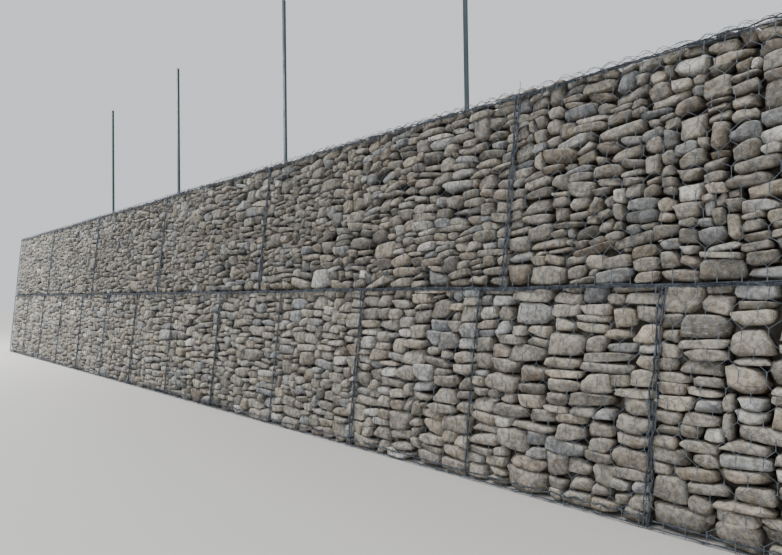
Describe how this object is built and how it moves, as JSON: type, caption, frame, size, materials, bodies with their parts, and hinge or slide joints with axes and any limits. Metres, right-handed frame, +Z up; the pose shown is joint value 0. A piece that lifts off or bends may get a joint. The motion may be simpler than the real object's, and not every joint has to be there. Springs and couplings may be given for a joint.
{
  "type": "gabion wall",
  "caption": "Straight gabion wall of two leaning courses: stone-filled wire boxes laced together, with steel fence posts standing along the top.",
  "frame": {"origin": "middle of the level underside of the lower course, on the ground", "axes": "+X along the wall towards the near end of the picture, +Y from the front face to the back, the way the wall leans, +Z up"},
  "size_m": [13.0476, 1.1922, 3.7],
  "materials": {
    "river_stone": "matt rounded river cobbles, warm grey and tan with some blue-grey",
    "galvanised_wire": "weathered zinc-coated steel wire",
    "post_coating": "dark blue-green coating on steel"
  },
  "bodies": {
    "root": {"fence_post_1": "post_coating", "fence_post_2": "post_coating", "fence_post_3": "post_coating", "fence_post_4": "post_coating", "fence_post_5": "post_coating", "lower_basket_1": "galvanised_wire", "lower_basket_2": "galvanised_wire", "lower_basket_3": "galvanised_wire", "lower_basket_4": "galvanised_wire", "lower_basket_5": "galvanised_wire", "lower_basket_6": "galvanised_wire", "lower_end_basket": "galvanised_wire", "lower_end_fill": "river_stone", "lower_end_lid": "galvanised_wire", "lower_fill_1": "river_stone", "lower_fill_2": "river_stone", "lower_fill_3": "river_stone", "lower_fill_4": "river_stone", "lower_fill_5": "river_stone", "lower_fill_6": "river_stone", "lower_lid_1": "galvanised_wire", "lower_lid_2": "galvanised_wire", "lower_lid_3": "galvanised_wire", "lower_lid_4": "galvanised_wire", "lower_lid_5": "galvanised_wire", "lower_lid_6": "galvanised_wire", "upper_basket_1": "galvanised_wire", "upper_basket_2": "galvanised_wire", "upper_basket_3": "galvanised_wire", "upper_basket_4": "galvanised_wire", "upper_basket_5": "galvanised_wire", "upper_basket_6": "galvanised_wire", "upper_fill_1": "river_stone", "upper_fill_2": "river_stone", "upper_fill_3": "river_stone", "upper_fill_4": "river_stone", "upper_fill_5": "river_stone", "upper_fill_6": "river_stone", "upper_lid_1": "galvanised_wire", "upper_lid_2": "galvanised_wire", "upper_lid_3": "galvanised_wire", "upper_lid_4": "galvanised_wire", "upper_lid_5": "galvanised_wire", "upper_lid_6": "galvanised_wire"}
  },
  "joints": []
}
